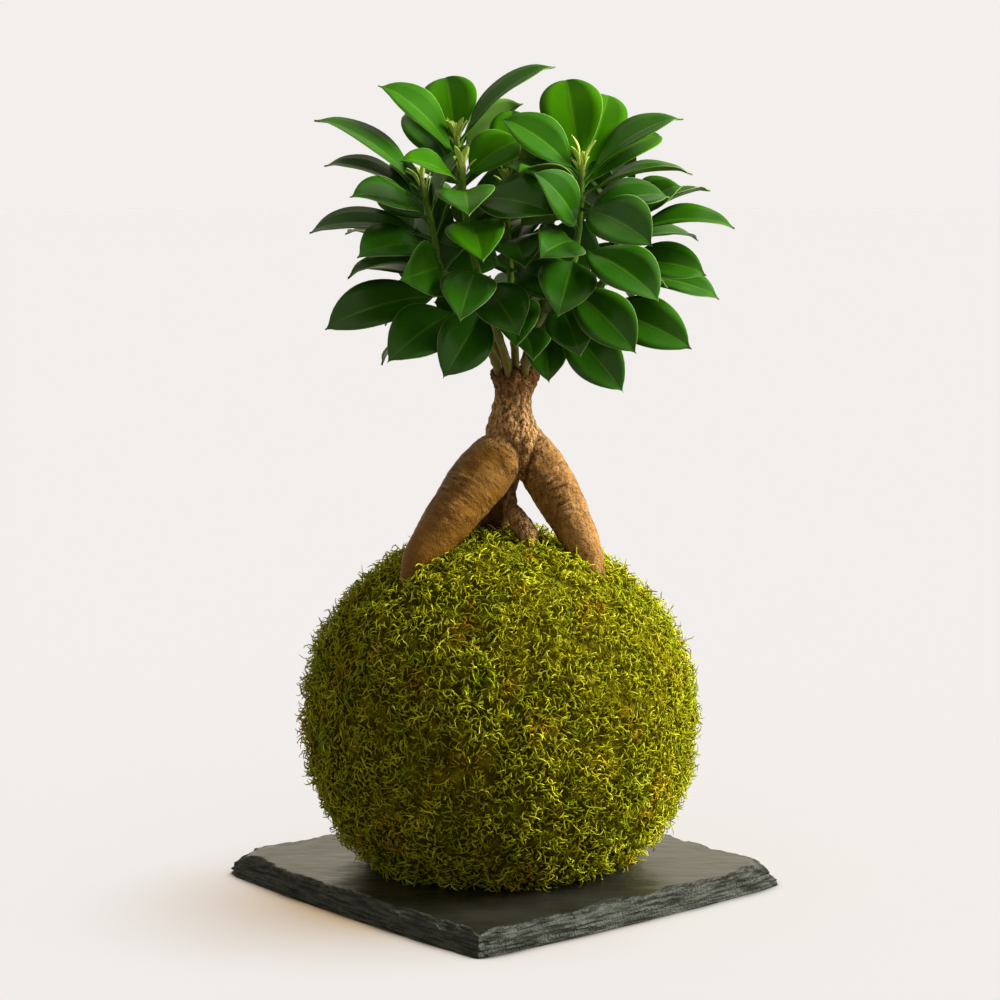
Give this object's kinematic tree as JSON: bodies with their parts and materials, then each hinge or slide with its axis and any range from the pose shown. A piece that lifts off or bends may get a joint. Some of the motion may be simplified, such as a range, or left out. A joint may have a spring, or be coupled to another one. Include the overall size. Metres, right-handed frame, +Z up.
{
  "type": "kokedama moss ball plant",
  "caption": "Small ginseng fig with thick root legs growing out of a moss-covered soil ball that sits on a square slab of rough-edged slate.",
  "frame": {"origin": "centre of the slate slab's underside, where the part stands on its surface", "axes": "+Z up along the plant; -Y is the front, where the two thick root legs stand side by side, and +X is to the viewer's right"},
  "size_m": [0.2094, 0.2091, 0.3114],
  "materials": {
    "slate": "satin",
    "soil": "matte",
    "moss": "matte",
    "bark": "satin",
    "leaf": "satin"
  },
  "bodies": {
    "root": {"slate_slab": "slate", "soil_ball": "soil", "moss_skin": "moss", "trunk": "bark", "shoot_left_front": "leaf", "shoot_left_centre": "leaf", "shoot_left_back": "leaf", "shoot_centre": "leaf", "shoot_right_front": "leaf", "shoot_right_back": "leaf", "shoot_back": "leaf"}
  },
  "joints": []
}
